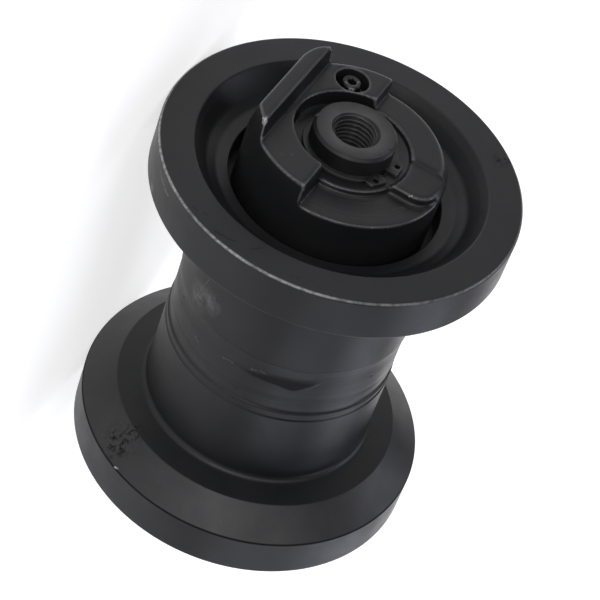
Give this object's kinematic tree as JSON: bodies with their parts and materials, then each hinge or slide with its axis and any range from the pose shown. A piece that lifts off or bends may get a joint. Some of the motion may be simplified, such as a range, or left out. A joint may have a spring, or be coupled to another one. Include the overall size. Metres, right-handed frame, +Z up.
{
  "type": "track roller",
  "caption": "Double-flange track roller with a sealed fixed shaft, ridged end collars and threaded shaft ends.",
  "frame": {"origin": "middle of the roller on the axle's centre line, half way between the two ends", "axes": "+Y along the axle; +Z up as the roller hangs under a track frame, with the collars' ridges at the bottom; +X along the direction of travel"},
  "size_m": [0.24, 0.356, 0.24],
  "materials": {
    "shell_paint": "satin black paint on forged and turned steel",
    "weld_paint": "satin black paint over a weld bead",
    "collar_paint": "satin black paint on forged steel, worn bright at the edges",
    "shaft_paint": "satin black paint on turned steel",
    "spring_steel": "dark phosphated spring steel",
    "plug_steel": "bright zinc plated, a little dirty",
    "washer_metal": "dull copper",
    "bush_bronze": "machined bronze",
    "seal_iron": "lapped seal face",
    "seal_rubber": "moulded nitrile rubber"
  },
  "bodies": {
    "axle": {"shaft": "shaft_paint", "collar_front": "collar_paint", "collar_rear": "collar_paint", "circlip_front": "spring_steel", "circlip_rear": "spring_steel", "oil_plug_front": "plug_steel", "oil_plug_rear": "plug_steel", "plug_washer_front": "washer_metal", "plug_washer_rear": "washer_metal", "shaft_o_ring_front": "seal_rubber", "shaft_o_ring_rear": "seal_rubber", "fixed_seal_ring_front": "seal_iron", "fixed_seal_ring_rear": "seal_iron", "fixed_toric_front": "seal_rubber", "fixed_toric_rear": "seal_rubber"},
    "roller": {"weld_bead": "weld_paint", "shell_half_front": "shell_paint", "shell_half_rear": "shell_paint", "bush_front": "bush_bronze", "bush_rear": "bush_bronze", "rotating_seal_ring_front": "seal_iron", "rotating_seal_ring_rear": "seal_iron", "rotating_toric_front": "seal_rubber", "rotating_toric_rear": "seal_rubber"}
  },
  "joints": [
    {"name": "roller_spin", "type": "hinge", "parent": "axle", "child": "roller", "pos_m": [0, 0, 0], "axis": [0, 1, 0], "continuous": true}
  ]
}
